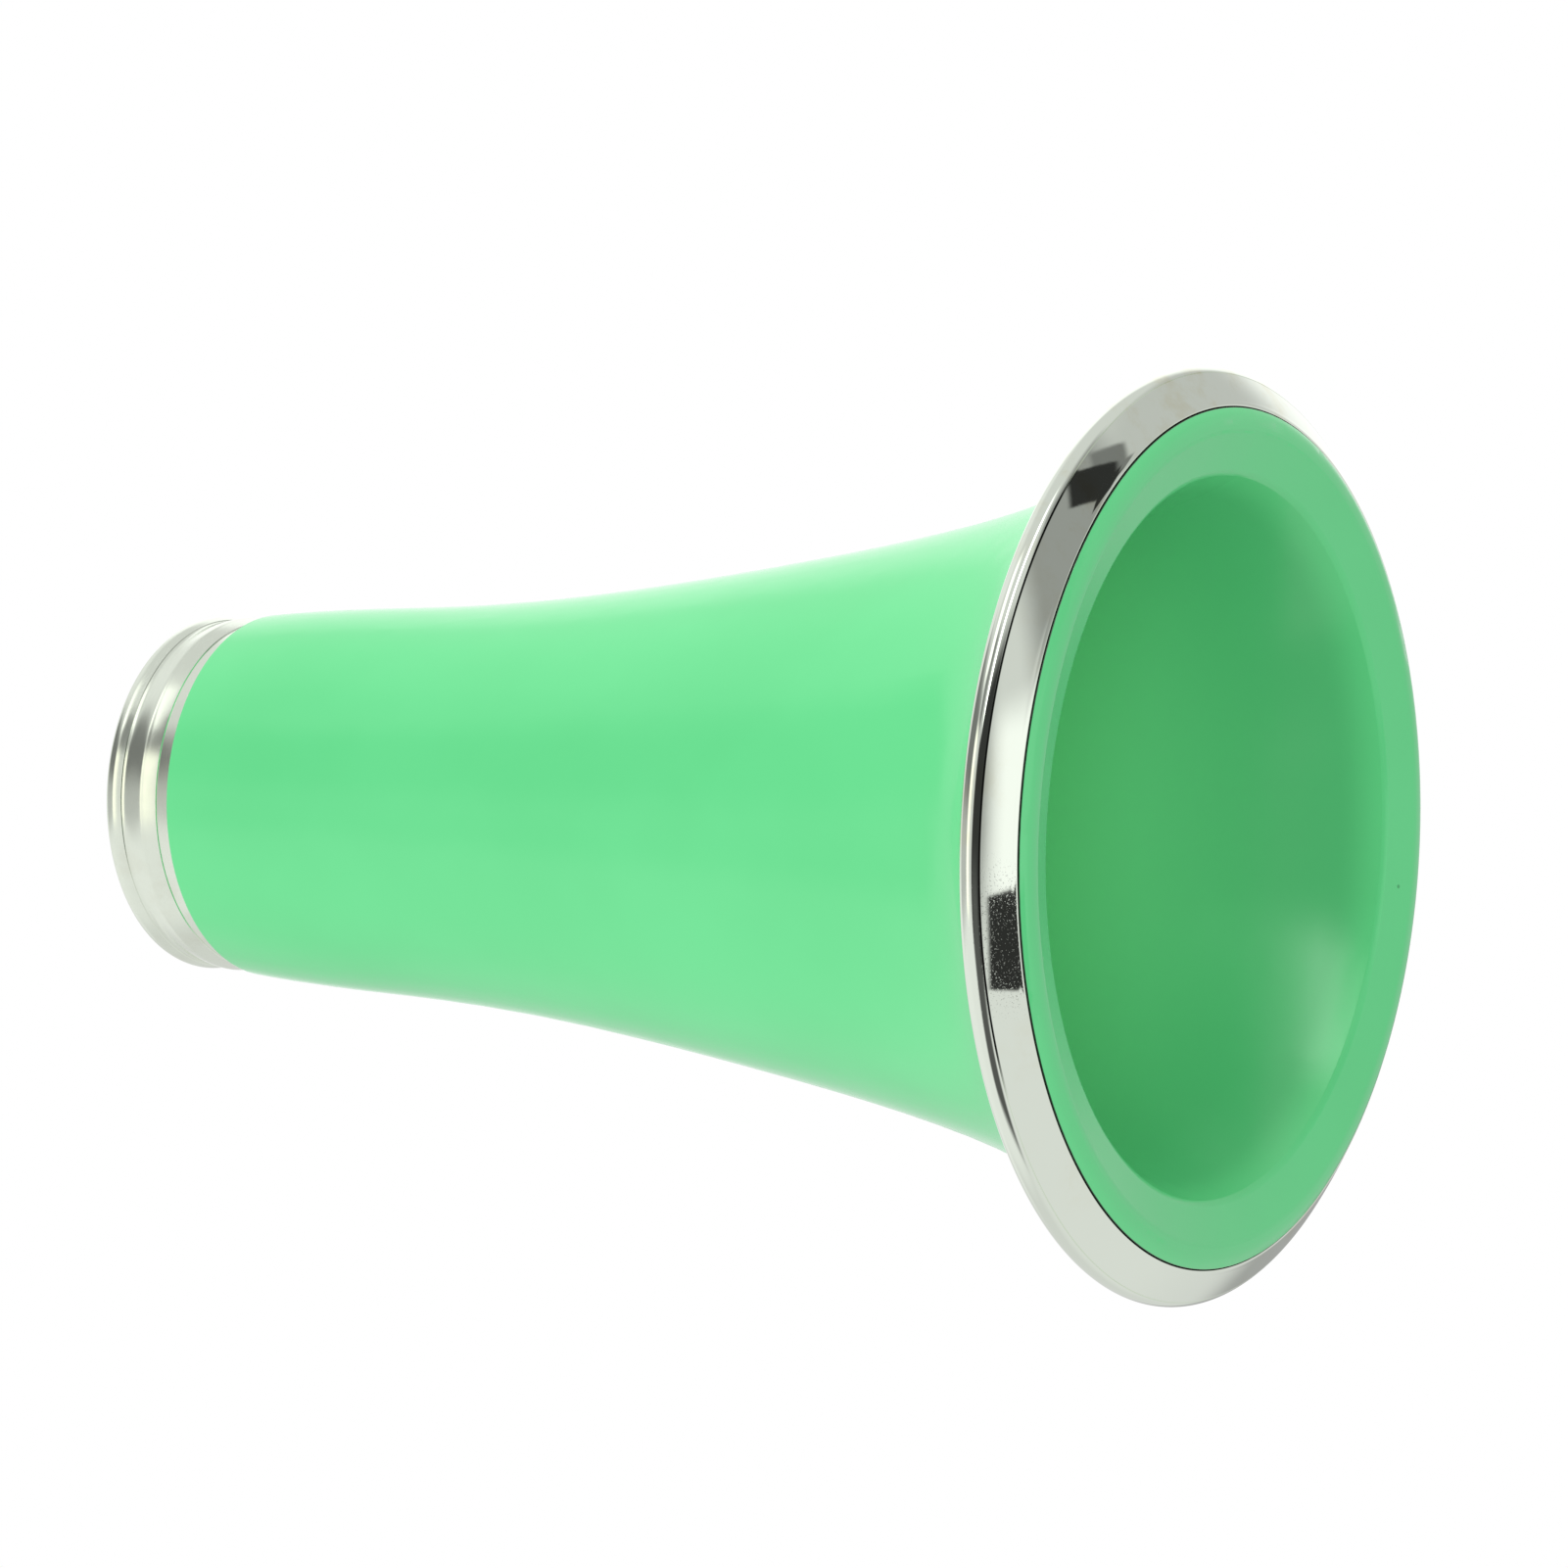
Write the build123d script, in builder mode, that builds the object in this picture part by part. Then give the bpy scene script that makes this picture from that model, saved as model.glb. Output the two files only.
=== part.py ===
from build123d import *
import os
from math import cos, hypot, isclose, radians, sin, tan

# Clarinet bell, standing on its mouth. A moulded plastic bell body carries two pressed-on metal
# rings: one with a single bead round the mouth, and one with two beads round the tenon socket.
# The origin is the middle of the mouth, on the plane that the bell stands on, and +Z runs up the
# bore to the socket. Every piece is turned, so its profile is drawn as (radius, height) pairs.

# Overall heights
body_top = 108.8  # end face of the socket
ring_shoulder = 101.45  # shoulder that the socket ring is pressed down to

# Socket for the cork-wrapped tenon of the lower joint
socket_radius = 13.3
socket_depth = 18.5
socket_chamfer = 0.6
ring_seat_radius = 15.2  # turned-down end inside the socket ring

# Lip of the mouth: a narrow land to stand on, a low dome outside it, a shallow cone inside it,
# and an edge where the bore takes over
land_inner_radius = 34.6
land_outer_radius = 35.1
lip_edge_radius = 31.0
lip_edge_height = 1.2
bore_slope_at_lip = 60  # degrees between the bore's wall and the mouth's plane at that edge
rim_radius = 36.6  # joint between the lip and the rim ring
rim_setback = 0.55  # height of that joint above the land

# Outer wall, from the flare above the rim ring to the shank below the socket ring
flare_end_radius = 37.3
outer_wall = [
    (32.5, 8.9),
    (29.5, 14.6),
    (26.2, 25.8),
    (22.8, 43.3),
    (20.1, 60.7),
    (18.3, 78.2),
    (17.65, 92.0),
]
shank_top_radius = 16.95

# Bore, from the socket's floor to the lip
throat_radius = 12.0
throat_taper = 0.08  # growth of the radius per unit of height at the throat
bore_wall = [
    (13.4, 75.0),
    (15.4, 60.0),
    (18.8, 40.0),
    (21.8, 27.0),
    (25.6, 14.6),
    (28.0, 7.7),
]

# Rim ring: a sloping front face, a bead round the outside and a sloping back
rim_bead_radius = 1.15
rim_bead_centre = (38.85, 3.47)
rim_bead_start = -55  # degrees round the bead from its outermost point: end of the front face
rim_bead_end = 75  # degrees at which the bead runs on, tangent, into the back
rim_face_crown = 0.05  # rise of the front face's middle above a straight slope
rim_groove_width = 5  # degrees of the bead taken by the fine groove beside the front face
rim_groove_depth = 0.06

# Socket ring: a plain collar at its foot, then two broad beads that run into each other
collar_radius = 16.15
collar_height = 102.7
bead_wall = [
    (16.28, 103.3),
    (16.52, 104.3),
    (16.6, 105.0),
    (16.27, 106.5),
    (16.45, 107.3),
    (16.6, 107.95),
]
ring_top = (15.9, 109.0)  # where the upper bead has turned over into the ring's end face

# Small roundings
land_round = 1.2  # inside edge of the land
lip_edge_round = 0.9
seam_round = 0.12  # both sides of the joint between the lip and the rim ring
edge_round = 0.25  # outside edge of the plastic below the socket ring


def on_bead(centre, radius, turn):
    """Point at a distance from a bead's centre, at an angle from its outermost point."""
    angle = radians(turn)
    return (centre[0] + radius * cos(angle), centre[1] + radius * sin(angle))


def circular_edges(part, radius, height):
    """The part's round edges that have this radius at this height."""
    return (
        part.edges()
        .filter_by(GeomType.CIRCLE)
        .filter_by(lambda edge: isclose(edge.radius, radius, abs_tol=0.01))
        .filter_by(lambda edge: isclose(edge.arc_center.Z, height, abs_tol=0.01))
    )


os.makedirs("parts", exist_ok=True)

# The ring's straight back leaves the bead tangent and meets the flare at its end radius.
rim_back_start = on_bead(rim_bead_centre, rim_bead_radius, rim_bead_end)
rim_back_rise = (rim_back_start[0] - flare_end_radius) / tan(radians(rim_bead_end))
rim_back_height = rim_back_start[1] + rim_back_rise


# Bell body: one moulding with the lip, the flare, the bore and the socket
socket_floor = body_top - socket_depth
lip_edge = (lip_edge_radius, lip_edge_height)
lip_slope = radians(bore_slope_at_lip)

with BuildPart() as bell_body:
    with BuildSketch(Plane.XZ):
        with BuildLine():
            Line((land_inner_radius, 0), (land_outer_radius, 0))
            TangentArc((land_outer_radius, 0), (rim_radius, rim_setback), tangent=(1, 0))
            Polyline(
                (rim_radius, rim_setback),
                (rim_radius, rim_back_height),
                (flare_end_radius, rim_back_height),
            )
            Spline(
                (flare_end_radius, rim_back_height),
                *outer_wall,
                (shank_top_radius, ring_shoulder),
            )
            Polyline(
                (shank_top_radius, ring_shoulder),
                (ring_seat_radius, ring_shoulder),
                (ring_seat_radius, body_top),
                (socket_radius + socket_chamfer, body_top),
                (socket_radius, body_top - socket_chamfer),
                (socket_radius, socket_floor),
                (throat_radius, socket_floor),
            )
            Spline(
                (throat_radius, socket_floor),
                *bore_wall,
                lip_edge,
                tangents=[(throat_taper, -1), (cos(lip_slope), -sin(lip_slope))],
            )
            Line(lip_edge, (land_inner_radius, 0))
        make_face()
    revolve(axis=Axis.Z)
    fillet(circular_edges(bell_body, land_inner_radius, 0), land_round)
    fillet(circular_edges(bell_body, *lip_edge), lip_edge_round)
    fillet(circular_edges(bell_body, rim_radius, rim_setback), seam_round)
    fillet(circular_edges(bell_body, shank_top_radius, ring_shoulder), edge_round)
bell_body.part.label = "bell_body"
export_step(bell_body.part, "parts/bell_body.step")


# Rim ring: pressed over the mouth's edge, up to the end of the flare
face_end = on_bead(rim_bead_centre, rim_bead_radius, rim_bead_start)
face_run = (face_end[0] - rim_radius, face_end[1] - rim_setback)
face_length = hypot(*face_run)
face_middle = (
    rim_radius + face_run[0] / 2 + rim_face_crown * face_run[1] / face_length,
    rim_setback + face_run[1] / 2 - rim_face_crown * face_run[0] / face_length,
)
groove_end = rim_bead_start + rim_groove_width

with BuildPart() as rim_ring:
    with BuildSketch(Plane.XZ):
        with BuildLine():
            Polyline(
                (flare_end_radius, rim_back_height),
                (rim_radius, rim_back_height),
                (rim_radius, rim_setback),
            )
            ThreePointArc((rim_radius, rim_setback), face_middle, face_end)
            Polyline(
                face_end,
                on_bead(
                    rim_bead_centre,
                    rim_bead_radius - rim_groove_depth,
                    rim_bead_start + rim_groove_width / 2,
                ),
                on_bead(rim_bead_centre, rim_bead_radius, groove_end),
            )
            ThreePointArc(
                on_bead(rim_bead_centre, rim_bead_radius, groove_end),
                on_bead(rim_bead_centre, rim_bead_radius, 0),
                rim_back_start,
            )
            Line(rim_back_start, (flare_end_radius, rim_back_height))
        make_face()
    revolve(axis=Axis.Z)
    fillet(circular_edges(rim_ring, rim_radius, rim_setback), seam_round)
rim_ring.part.label = "rim_ring"
export_step(rim_ring.part, "parts/rim_ring.step")


# Socket ring: pressed over the turned-down end, with the beads standing out of a plain band
with BuildPart() as socket_ring:
    with BuildSketch(Plane.XZ):
        with BuildLine():
            Polyline(
                ring_top,
                (ring_seat_radius, ring_top[1]),
                (ring_seat_radius, ring_shoulder),
                (collar_radius, ring_shoulder),
                (collar_radius, collar_height),
            )
            Spline(
                (collar_radius, collar_height),
                *bead_wall,
                ring_top,
                tangents=[(0, 1), (-1, 0)],
            )
        make_face()
    revolve(axis=Axis.Z)
socket_ring.part.label = "socket_ring"
export_step(socket_ring.part, "parts/socket_ring.step")
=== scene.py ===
import math

import bpy
from mathutils import Matrix, Vector


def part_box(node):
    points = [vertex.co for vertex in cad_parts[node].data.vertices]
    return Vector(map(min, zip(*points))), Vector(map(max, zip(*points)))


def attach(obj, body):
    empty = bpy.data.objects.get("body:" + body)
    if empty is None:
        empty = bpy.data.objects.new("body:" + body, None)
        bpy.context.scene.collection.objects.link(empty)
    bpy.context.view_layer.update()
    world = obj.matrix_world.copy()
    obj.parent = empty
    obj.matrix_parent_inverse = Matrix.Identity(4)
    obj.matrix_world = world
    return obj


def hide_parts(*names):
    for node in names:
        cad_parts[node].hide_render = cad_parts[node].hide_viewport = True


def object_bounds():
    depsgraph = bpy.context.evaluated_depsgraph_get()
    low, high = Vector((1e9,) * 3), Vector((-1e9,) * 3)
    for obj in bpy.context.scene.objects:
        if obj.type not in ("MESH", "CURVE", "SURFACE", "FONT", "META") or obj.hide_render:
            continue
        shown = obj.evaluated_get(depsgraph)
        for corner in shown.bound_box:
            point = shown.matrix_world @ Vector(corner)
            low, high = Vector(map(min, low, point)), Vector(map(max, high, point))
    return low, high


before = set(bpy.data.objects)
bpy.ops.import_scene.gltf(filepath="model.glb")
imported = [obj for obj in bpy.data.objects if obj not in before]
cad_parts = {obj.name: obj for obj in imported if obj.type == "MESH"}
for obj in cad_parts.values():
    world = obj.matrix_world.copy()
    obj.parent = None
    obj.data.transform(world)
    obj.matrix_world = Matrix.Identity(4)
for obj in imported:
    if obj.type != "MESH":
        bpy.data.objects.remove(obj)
cad_low, cad_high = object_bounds()
BODY = "root"
MM = 0.001

# Places read from the frame, in metres
rim_low, rim_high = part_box("rim_ring")
band_low, band_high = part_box("socket_ring")
SEAM_RADIUS = 36.6 * MM  # joint between the lip and the rim ring
SEAM_GAP = 0.055 * MM  # open crack that the joint shows
SHARP_ANGLE = 28  # degrees between faces from which an edge of a turned piece looks sharp


# ---------------------------------------------------------------- node helpers

class Nodes:
    """Short calls for building one node tree."""

    def __init__(self, tree):
        self.tree = tree
        tree.nodes.clear()

    def add(self, kind, **values):
        """A node, with its sockets set by name and its options set by attribute."""
        node = self.tree.nodes.new(kind)
        for name, value in values.items():
            if hasattr(node, name):
                setattr(node, name, value)
            else:
                node.inputs[name.replace("_", " ")].default_value = value
        return node

    def link(self, source, target):
        self.tree.links.new(source, target)

    def math(self, operation, first, second=None):
        node = self.add("ShaderNodeMath", operation=operation)
        for socket, value in zip(node.inputs, (first, second)):
            if value is None:
                continue
            if isinstance(value, (int, float)):
                socket.default_value = value
            else:
                self.link(value, socket)
        return node.outputs[0]

    def ramp(self, value, low, high, out_low=0.0, out_high=1.0):
        """Smooth step of a value from one range to another."""
        node = self.add("ShaderNodeMapRange", interpolation_type="SMOOTHSTEP")
        for index, number in enumerate((low, high, out_low, out_high), start=1):
            node.inputs[index].default_value = number
        self.link(value, node.inputs[0])
        return node.outputs[0]

    def mix(self, factor, first, second):
        node = self.add("ShaderNodeMix", data_type="RGBA")
        self.link(factor, node.inputs[0])
        for socket, value in ((node.inputs[6], first), (node.inputs[7], second)):
            if isinstance(value, (tuple, list)):
                socket.default_value = (*value, 1.0)
            else:
                self.link(value, socket)
        return node.outputs[2]


def new_material(name):
    material = bpy.data.materials.new(name)
    material.use_nodes = True
    return material, Nodes(material.node_tree)


# ---------------------------------------------------------------- materials

def noise(n, coordinates, scale, detail=2.0, roughness=0.5, stretch=None):
    """Noise with a number of grains per metre, drawn out along an axis if asked."""
    if stretch is not None:
        mapping = n.add("ShaderNodeMapping")
        mapping.inputs["Scale"].default_value = stretch
        n.link(coordinates, mapping.inputs["Vector"])
        coordinates = mapping.outputs[0]
    node = n.add("ShaderNodeTexNoise", Scale=scale, Detail=detail, Roughness=roughness)
    n.link(coordinates, node.inputs["Vector"])
    return node.outputs["Fac"]


def specks(n, coordinates, spacing, size, share):
    """1 inside small round specks, of which only a share of the cells has one."""
    cells = n.add("ShaderNodeTexVoronoi", Scale=1 / spacing)
    n.link(coordinates, cells.inputs["Vector"])
    inner, outer = 0.5 * size / spacing, 0.8 * size / spacing
    spot = n.ramp(cells.outputs["Distance"], inner, outer, 1.0, 0.0)
    chance = n.add("ShaderNodeSeparateColor")
    n.link(cells.outputs["Color"], chance.inputs[0])
    return n.math("MULTIPLY", spot, n.math("LESS_THAN", chance.outputs[0], share))


def shifted(n, coordinates, offset):
    """Coordinates moved by an offset, so that a second set of specks falls elsewhere."""
    node = n.add("ShaderNodeVectorMath", operation="ADD")
    n.link(coordinates, node.inputs[0])
    node.inputs[1].default_value = offset
    return node.outputs[0]


def bump(n, height, distance, normal=None):
    """A surface normal tilted by a height, laid over another normal if one is given."""
    node = n.add("ShaderNodeBump", Strength=1.0, Distance=distance)
    n.link(height, node.inputs["Height"])
    if normal is not None:
        n.link(normal, node.inputs["Normal"])
    return node.outputs["Normal"]


def flat_part(n, vector):
    """A vector without its height: its part across the bell's axis."""
    node = n.add("ShaderNodeVectorMath", operation="MULTIPLY")
    n.link(vector, node.inputs[0])
    node.inputs[1].default_value = (1, 1, 0)
    return node.outputs[0]


def length(n, vector):
    node = n.add("ShaderNodeVectorMath", operation="LENGTH")
    n.link(vector, node.inputs[0])
    return node.outputs["Value"]


def dot(n, first, second):
    node = n.add("ShaderNodeVectorMath", operation="DOT_PRODUCT")
    n.link(first, node.inputs[0])
    if isinstance(second, tuple):
        node.inputs[1].default_value = second
    else:
        n.link(second, node.inputs[1])
    return node.outputs["Value"]


def sector(n, coordinates, middle, inner, outer):
    """1 within an angle of a way across the axis, and 0 beyond a wider one, all in degrees."""
    turn = math.radians(middle)
    across = flat_part(n, coordinates)
    unit = n.add("ShaderNodeVectorMath", operation="NORMALIZE")
    n.link(across, unit.inputs[0])
    cosine = dot(n, unit.outputs[0], (math.cos(turn), math.sin(turn), 0.0))
    return n.ramp(cosine, math.cos(math.radians(outer)), math.cos(math.radians(inner)))


def near(n, value, target, inner, outer):
    """1 while a value is within a distance of its target, and 0 beyond a wider distance."""
    apart = n.math("ABSOLUTE", n.math("SUBTRACT", value, target))
    return n.ramp(apart, inner, outer, 1.0, 0.0)


def green_plastic():
    """Moulded plastic: glossy outside, duller in the bore, with soft smears in its gloss, a few pale
    and dark specks and a dirty seam. The bore's colour is tuned to the photo's shading, which the
    lights alone don't give: darker from the lip inwards, then paler with depth."""
    material, n = new_material("green_plastic")
    frame_of_bell = n.add("ShaderNodeTexCoord")
    place = frame_of_bell.outputs["Object"]
    shader = n.add("ShaderNodeBsdfPrincipled", Metallic=0.0, IOR=1.5)
    output = n.add("ShaderNodeOutputMaterial")
    n.link(shader.outputs[0], output.inputs["Surface"])

    cloud = noise(n, place, 45.0, 3.0)
    colour = n.mix(n.ramp(cloud, 0.35, 0.65), (0.147, 0.792, 0.299), (0.155, 0.817, 0.313))
    radius = length(n, flat_part(n, place))
    separate = n.add("ShaderNodeSeparateXYZ")
    n.link(place, separate.inputs[0])
    height = separate.outputs[2]
    seam = n.math(
        "MULTIPLY",
        n.ramp(radius, SEAM_RADIUS - 0.06 * MM, SEAM_RADIUS - 0.02 * MM),
        n.ramp(height, 4.0 * MM, 4.2 * MM, 1.0, 0.0),
    )
    colour = n.mix(seam, colour, (0.01, 0.03, 0.015))
    facing = dot(n, frame_of_bell.outputs["Normal"], flat_part(n, place))
    bore = n.ramp(facing, -0.004, 0.0, 1.0, 0.0)
    # Painted shade: the bore's colour is darkened from the lip inwards
    inwards = n.math("MULTIPLY", bore, n.ramp(height, 1 * MM, 5 * MM, 0.12, 1.0))
    colour = n.mix(inwards, colour, (0.110, 0.63, 0.232))
    # Painted light: the bore's colour is paled with depth, standing in for light the deep throat
    # doesn't get
    deep = n.math("MULTIPLY", bore, n.ramp(height, 5 * MM, 38 * MM))
    colour = n.mix(deep, colour, (0.240, 0.90, 0.385))
    pale = specks(n, place, 9 * MM, 0.28 * MM, 0.3)
    colour = n.mix(pale, colour, (0.45, 0.92, 0.60))
    dark = specks(n, shifted(n, place, (0.3, 0.1, 0.2)), 14 * MM, 0.3 * MM, 0.3)
    colour = n.mix(n.math("MULTIPLY", dark, 0.6), colour, (0.03, 0.25, 0.08))
    n.link(colour, shader.inputs["Base Color"])

    smear = noise(n, place, 60.0, 4.0, 0.6, (1.0, 1.0, 0.35))
    rough = n.ramp(smear, 0.3, 0.75, 0.10, 0.17)
    rough = n.math("ADD", rough, n.math("MULTIPLY", bore, 0.10))
    n.link(rough, shader.inputs["Roughness"])

    ripple = bump(n, noise(n, place, 110.0, 2.0), 4e-6)
    flow = bump(n, noise(n, place, 420.0, 2.0, 0.5, (1.0, 1.0, 0.12)), 0.5e-6, ripple)
    n.link(flow, shader.inputs["Normal"])
    return material


def nickel(name, tint, stain, smooth, smeared, peel, pitted=None, groove=None):
    """Nickel plating, its stained tint, how smooth it is and how dull where it is smeared, and the
    height of its orange peel. It may have a pitted sector (its middle, and where it starts to fade
    and ends) and a groove with a painted dark reflection in one sector of it (its radius, then the
    same), with angles in degrees."""
    material, n = new_material(name)
    place = n.add("ShaderNodeTexCoord").outputs["Object"]
    shader = n.add("ShaderNodeBsdfPrincipled", Metallic=1.0)
    output = n.add("ShaderNodeOutputMaterial")
    n.link(shader.outputs[0], output.inputs["Surface"])

    cloud = noise(n, place, 260.0, 5.0, 0.65)
    broad = noise(n, place, 40.0, 1.0)
    stained = n.math("MULTIPLY", n.ramp(cloud, 0.45, 0.7), n.ramp(broad, 0.40, 0.62))
    colour = n.mix(stained, tint, stain)
    smear = noise(n, place, 150.0, 4.0, 0.6)
    rough = n.ramp(smear, 0.35, 0.75, smooth, smeared)
    surface = bump(n, noise(n, place, 300.0, 1.0), 2 * peel)
    surface = bump(n, noise(n, place, 1500.0, 2.0), peel / 2, surface)
    if pitted is not None:
        grain = noise(n, place, 6500.0, 2.0, 0.6)
        where = sector(n, place, *pitted)
        pits = n.math("MULTIPLY", n.ramp(grain, 0.60, 0.72), where)
        surface = bump(n, pits, 1.6e-6, surface)
    if groove is not None:
        radius = length(n, flat_part(n, place))
        in_groove = near(n, radius, groove[0], 0.03 * MM, 0.07 * MM)
        # Painted reflection: the groove is coloured black over one sector, standing in for a dark
        # reflection
        painted_dark_reflection = n.math("MULTIPLY", in_groove, sector(n, place, *groove[1:]))
        colour = n.mix(painted_dark_reflection, colour, (0.012, 0.013, 0.012))
    n.link(colour, shader.inputs["Base Color"])
    n.link(rough, shader.inputs["Roughness"])
    n.link(surface, shader.inputs["Normal"])
    return material


def grime():
    """Old grime in the joint between the lip and the rim ring."""
    material, n = new_material("seam_grime")
    place = n.add("ShaderNodeTexCoord").outputs["Object"]
    shader = n.add("ShaderNodeBsdfPrincipled", Metallic=0.0, Roughness=0.7)
    output = n.add("ShaderNodeOutputMaterial")
    n.link(shader.outputs[0], output.inputs["Surface"])
    crumbs = noise(n, place, 3000.0, 3.0)
    colour = n.mix(n.ramp(crumbs, 0.4, 0.7), (0.012, 0.016, 0.012), (0.05, 0.07, 0.045))
    n.link(colour, shader.inputs["Base Color"])
    return material


# ---------------------------------------------------------------- turned pieces

def arc(centre, radius, start, end, steps):
    """Points (radius, height) round an arc, with its turns in degrees from the outward way."""
    points = []
    for step in range(steps + 1):
        turn = math.radians(start + (end - start) * step / steps)
        points.append((centre[0] + radius * math.cos(turn), centre[1] + radius * math.sin(turn)))
    return points


def turned(name, profile, segments=448):
    """A closed profile of (radius, height) points in metres, turned round the bell's axis."""
    vertices = []
    for step in range(segments):
        turn = 2 * math.pi * step / segments
        cosine, sine = math.cos(turn), math.sin(turn)
        vertices += [(radius * cosine, radius * sine, height) for radius, height in profile]
    count = len(profile)
    faces = []
    for step in range(segments):
        here, beyond = step * count, (step + 1) % segments * count
        for point in range(count):
            following = (point + 1) % count
            faces.append((here + point, beyond + point, beyond + following, here + following))
    mesh = bpy.data.meshes.new(name)
    mesh.from_pydata(vertices, [], faces)
    mesh.shade_smooth()
    mesh.set_sharp_from_angle(angle=math.radians(SHARP_ANGLE))
    piece = bpy.data.objects.new(name, mesh)
    bpy.context.scene.collection.objects.link(piece)
    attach(piece, BODY)
    return piece


def rim_profile():
    """The rim ring: its crowned front face, a fine groove, the bead and the sloping back."""
    bead = 1.15 * MM
    centre = (rim_high.x - bead, 3.47 * MM)
    seat, back_end = SEAM_RADIUS + SEAM_GAP, 37.3 * MM
    front, lift, crown = 0.55 * MM, 0.12 * MM, 0.05 * MM
    groove_start, groove_width, groove_depth = -55, 5, 0.06 * MM
    bead_end = 75
    face_end = arc(centre, bead, groove_start, groove_start, 1)[0]
    run = Vector((face_end[0] - seat, face_end[1] - front))
    outward = Vector((run.y, -run.x)).normalized()
    steps, groove_steps, bead_steps = 14, 1, 40
    points = [(seat, rim_high.z), (seat, front + lift)]
    points += arc((seat + lift, front + lift * 1.55), lift, 180, 300, 5)
    for step in range(2, steps + 1):
        share = step / steps
        rise = 4 * crown * share * (1 - share)
        points.append(tuple(Vector((seat, front)) + run * share + outward * rise))
    middle = groove_start + groove_width / 2
    points += arc(centre, bead - groove_depth, middle, middle + 1, groove_steps)
    points += arc(centre, bead, groove_start + groove_width, bead_end, bead_steps)
    points.append((back_end, rim_high.z))
    return points


def smooth_curve(points, steps):
    """Points along a smooth curve through the inner points, with the outer two as its guides."""
    curve = []
    for before, start, end, after in zip(points, points[1:], points[2:], points[3:]):
        lean_in = (end - before) / 2
        lean_out = (after - start) / 2
        for step in range(steps):
            t = step / steps
            curve.append(
                start * (2 * t**3 - 3 * t**2 + 1) + lean_in * (t**3 - 2 * t**2 + t)
                + end * (3 * t**2 - 2 * t**3) + lean_out * (t**3 - t**2)
            )
    curve.append(points[-2])
    return [tuple(point) for point in curve]


def band_profile():
    """The socket ring: a collar, then two broad beads, each with a small step at its foot. The first
    and last point of a bead only guide its curve."""
    seat, collar, collar_top = 15.2 * MM, 16.15 * MM, 103.13 * MM
    lower_bead = [
        (16.1, 102.9),
        (16.24, 103.18),
        (16.52, 104.3),
        (16.6, 105.0),
        (16.27, 106.5),
        (16.3, 107.06),
        (16.3, 107.3),
    ]
    upper_bead = [
        (16.3, 106.9),
        (16.38, 107.1),
        (16.6, 107.95),
        (16.42, 108.68),
        (15.9, 109.0),
        (15.4, 109.0),
    ]
    steps = 10
    points = [(seat, band_high.z), (seat, band_low.z), (collar, band_low.z), (collar, collar_top)]
    for bead in (lower_bead, upper_bead):
        points += smooth_curve([Vector(point) * MM for point in bead], steps)
    return points


rim = turned("rim_ring_nickel", rim_profile())
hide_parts("rim_ring")
rim.data.materials.append(nickel(
    "nickel_rim", (0.85, 0.91, 0.81), (0.80, 0.82, 0.67), 0.02, 0.06, 1.0e-6,
    pitted=(-104, 7, 13), groove=(39.5 * MM, -82, 34, 42),
))
rim.data.materials.append(grime())
for face in rim.data.polygons:
    if math.hypot(face.center.x, face.center.y) < SEAM_RADIUS + 1.2 * SEAM_GAP:
        face.material_index = 1

band = turned("socket_ring_nickel", band_profile())
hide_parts("socket_ring")
band.data.materials.append(nickel(
    "nickel_socket", (0.84, 0.90, 0.79), (0.74, 0.76, 0.64), 0.16, 0.26, 0.5e-6,
))

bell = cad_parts["bell_body"]
bell.data.materials.clear()
bell.data.materials.append(green_plastic())


# ---------------------------------------------------------------- studio

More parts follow.
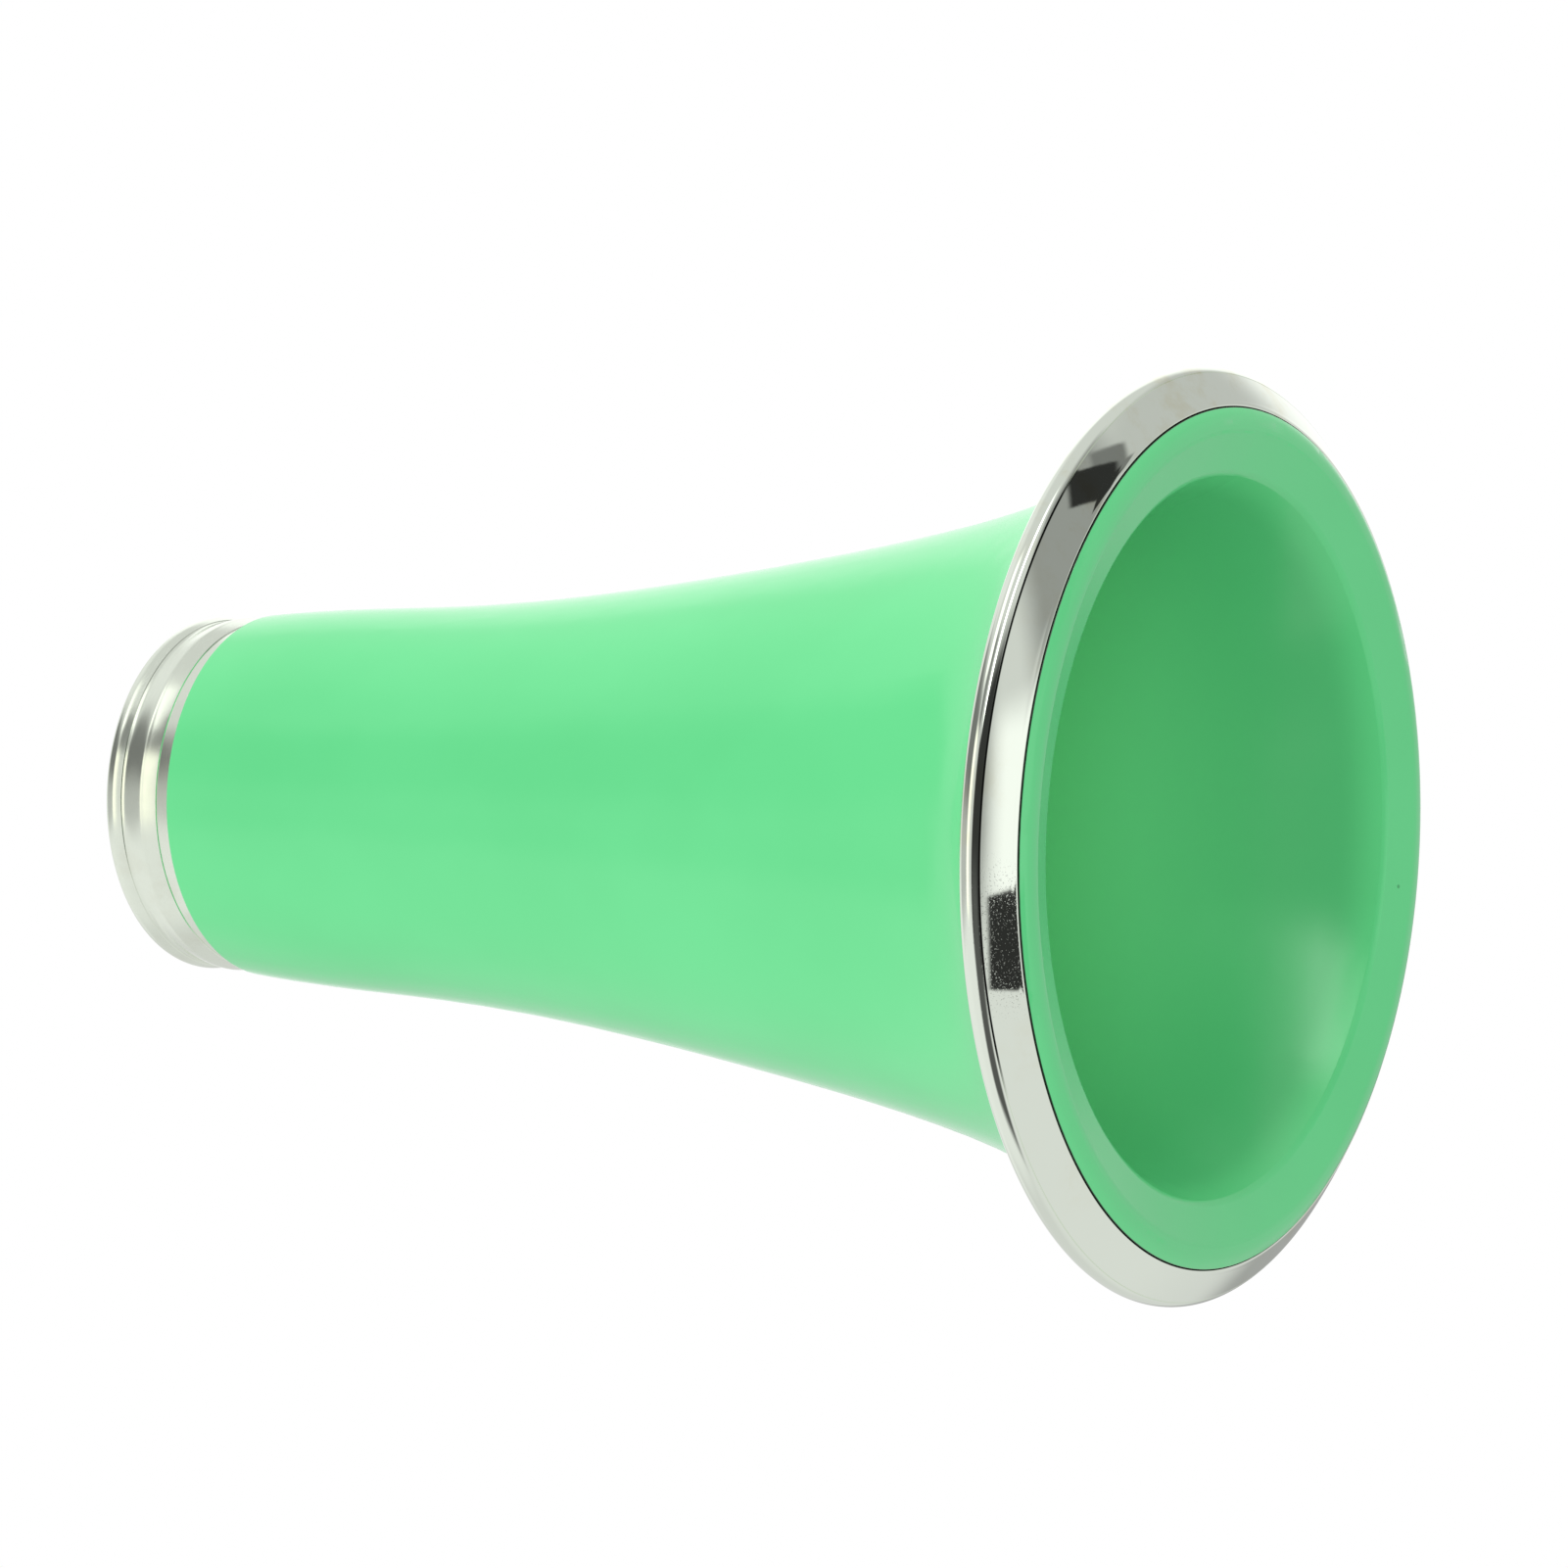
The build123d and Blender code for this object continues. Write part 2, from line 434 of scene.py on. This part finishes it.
# What the plating reflects, by direction: name, middle, the way of its first side, half angles
# along both sides and soft edges along both, in degrees, and its shade: a grey, or a colour.
# Their places and shades were tuned to the reflections in the photo. A later one covers an
# earlier one.
ROOM_SHADE = 0.70
AMBIENT_SHADE = 0.57
WHITE = 1.0
PANELS = [
    ("low_side", (-0.6, 0.3, -0.75), (1, 0, 0), (34, 45), (30, 30), 0.77),
    ("low_front", (-0.75, -0.6, 0.2), (0, 0, 1), (40, 36), (20, 20), 0.85),
    ("low_back", (-0.4, -0.1, 0.9), (1, 0, 0), (26, 30), (20, 20), 0.88),
    ("backdrop", (0.25, 0.85, 0.47), (1, 0, 0), (26, 28), (26, 24), 1.1),
    ("high_back", (0.52, 0.68, 0.52), (1, 0, 0), (14, 14), (16, 16), 1.15),
    ("top_front", (0.5, 0.05, 0.86), (1, 0, 0), (22, 20), (20, 14), 0.86),
    ("behind_low", (-0.2, 0.95, 0.24), (1, 0, 0), (13, 15), (12, 14), 0.39),
    ("upper_mouth", (0.6, 0.72, -0.4), (1, 0, 0), (14, 24), (12, 16), 0.56),
    ("upper_gloom", (0.62, 0.2, -0.75), (1, 0, 0), (22, 14), (22, 10), 0.33),
    ("photographer", (0.03, -0.72, -0.7), (1, 0, 0), (34, 30), (20, 12), 0.04),
    ("mouth_gloom", (-0.62, -0.58, -0.53), (1, 0, 0), (30, 20), (16, 12), 0.1),
    ("key_strip", (0.76, -0.56, -0.34), (0, 0, 1), (4, 24), (5, 20), 4.8),
    ("mouth_panel", (0.05, 0.05, -1.0), (1, 0, 0), (13, 14), (8, 8), 1.08),
    ("left_gap", (0.12, -0.6, 0.79), (1, 0, 0), (23, 30), (12, 8), 0.52),
    ("gap_core", (0.28, -0.5, 0.82), (1, 0, 0), (12, 28), (14, 8), 0.2),
    ("left_dark", (0.55, -0.83, 0.1), (1, 0, 0), (12, 10), (8, 6), 0.25),
    ("left_lower", (0.02, -0.956, 0.29), (1, 0, 0), (20, 10), (7, 6), (1.3, 1.27, 1.12)),
    ("left_upper", (0.72, -0.58, 0.37), (0, 0, 1), (10, 14), (5, 8), (1.4, 1.39, 1.35)),
    ("high_shade", (0.66, 0.42, -0.62), (1, 0.35, 0), (3.2, 4.5), (1, 2), 0.2),
    ("low_flag", (-0.245, -0.05, -0.97), (1, -0.25, 0), (6.7, 8), (0.6, 2), 0.03),
    ("high_flag", (0.655, 0.34, -0.675), (1, 0.35, 0), (3.2, 6.5), (0.6, 2), 0.03),
]


def as_colour(shade):
    """A colour as it is, or a grey given as one number."""
    return shade if isinstance(shade, tuple) else (shade, shade, shade)


def studio_world():
    """Soft panels and dark gaps for reflections, even light for the rest, and white for the camera."""
    world = bpy.data.worlds.new("studio")
    bpy.context.scene.world = world
    world.use_nodes = True
    n = Nodes(world.node_tree)
    direction = n.add("ShaderNodeTexCoord").outputs["Generated"]

    def inside(side, front, half, soft):
        """1 within half an angle of the middle, both in degrees, and 0 beyond a soft edge."""
        across = dot(n, direction, tuple(side))
        angle = n.math("ABSOLUTE", n.math("ARCTAN2", across, front))
        inner, outer = math.radians(half - soft / 2), math.radians(half + soft / 2)
        return n.ramp(angle, inner, outer, 1.0, 0.0)

    def panel(base, name, where, up, half, soft, shade):
        middle = Vector(where).normalized()
        first = Vector(up)
        first = (first - first.dot(middle) * middle).normalized()
        second = middle.cross(first)
        front = dot(n, direction, tuple(middle))
        amount = n.math(
            "MULTIPLY",
            inside(first, front, half[0], soft[0]),
            inside(second, front, half[1], soft[1]),
        )
        colour = n.mix(amount, base, as_colour(shade))
        colour.node.label = name
        return colour

    colour = as_colour(ROOM_SHADE)
    for settings in PANELS:
        colour = panel(colour, *settings)
    path = n.add("ShaderNodeLightPath")
    colour = n.mix(path.outputs["Is Glossy Ray"], as_colour(AMBIENT_SHADE), colour)
    colour.node.label = "ambient"
    colour = n.mix(path.outputs["Is Camera Ray"], colour, as_colour(WHITE))
    colour.node.label = "backdrop_seen"
    room = n.add("ShaderNodeBackground", Strength=1.0)
    n.link(colour, room.inputs["Color"])
    output = n.add("ShaderNodeOutputWorld")
    n.link(room.outputs[0], output.inputs["Surface"])
    world.cycles.sampling_method = "NONE"


def floor():
    """A pale round floor that fades out far off. It is seen from above only, so that it doesn't
    hide the mouth from below."""
    radius = 12.0
    fade_start, fade_end = 0.4, 3.0
    gap_under_bell = 0.02 * MM
    bpy.ops.mesh.primitive_circle_add(vertices=96, radius=radius, fill_type="NGON")
    ground = bpy.context.object
    ground.name = "floor"
    ground.location = (0, 0, cad_low.z - gap_under_bell)
    material, n = new_material("pale_floor")
    pale = n.add("ShaderNodeBsdfDiffuse")
    pale.inputs["Color"].default_value = (0.86, 0.86, 0.86, 1)
    clear = n.add("ShaderNodeBsdfTransparent")
    back = n.add("ShaderNodeNewGeometry").outputs["Backfacing"]
    blend = n.add("ShaderNodeMixShader")
    distance = length(n, flat_part(n, n.add("ShaderNodeTexCoord").outputs["Object"]))
    n.link(n.math("MAXIMUM", back, n.ramp(distance, fade_start, fade_end)), blend.inputs[0])
    n.link(pale.outputs[0], blend.inputs[1])
    n.link(clear.outputs[0], blend.inputs[2])
    output = n.add("ShaderNodeOutputMaterial")
    n.link(blend.outputs[0], output.inputs["Surface"])
    ground.data.materials.append(material)
    ground.visible_diffuse = False
    ground.visible_glossy = False
    ground.visible_shadow = False


# Broad soft lamps that no reflection shows: name, the way to it, strength, and width in degrees
LAMPS = [
    ("fill", (0.0, -0.87, -0.5), 0.6, 20),
    ("overhead", (0.9, 0.2, 0.3), 1.6, 60),
    ("underside", (-0.8, -0.5, 0.3), 0.55, 60),
    ("beside", (0.0, -0.5, 0.86), 0.55, 60),
]


def soft_lamp(name, where, strength, width):
    """A lamp infinitely far off, which lights the plastic but isn't seen by glossy rays."""
    data = bpy.data.lights.new(name, "SUN")
    data.energy = strength
    data.angle = math.radians(width)
    lamp = bpy.data.objects.new(name, data)
    bpy.context.scene.collection.objects.link(lamp)
    lamp.rotation_mode = "QUATERNION"
    lamp.rotation_quaternion = Vector(where).to_track_quat("Z", "Y")
    lamp.visible_glossy = False


studio_world()
for settings in LAMPS:
    soft_lamp(*settings)
floor()


# ---------------------------------------------------------------- camera

def make_camera():
    """From in front of the mouth and below it, rolled so that the bell lies across the picture."""
    elevation = math.radians(-27.36)
    roll = math.radians(-2.4)
    distance = 0.5004
    seen_from = Vector((0, 0, 0.2 * MM))
    eye = seen_from + distance * Vector((0, -math.cos(elevation), math.sin(elevation)))
    aim = Vector((3.06 * MM, 0, 45.5 * MM))
    forward = (aim - eye).normalized()
    down_axis = Vector((0, 0, -1))
    right = (down_axis - down_axis.dot(forward) * forward).normalized()
    right.rotate(Matrix.Rotation(roll, 3, forward))
    up = right.cross(forward)
    data = bpy.data.cameras.new("camera")
    data.sensor_width = 36.0
    data.lens = 134.9
    camera = bpy.data.objects.new("camera", data)
    bpy.context.scene.collection.objects.link(camera)
    turn = Matrix((right, up, -forward)).transposed()
    camera.matrix_world = Matrix.Translation(eye) @ turn.to_4x4()
    bpy.context.scene.camera = camera


make_camera()
bpy.context.scene.view_settings.view_transform = "Standard"
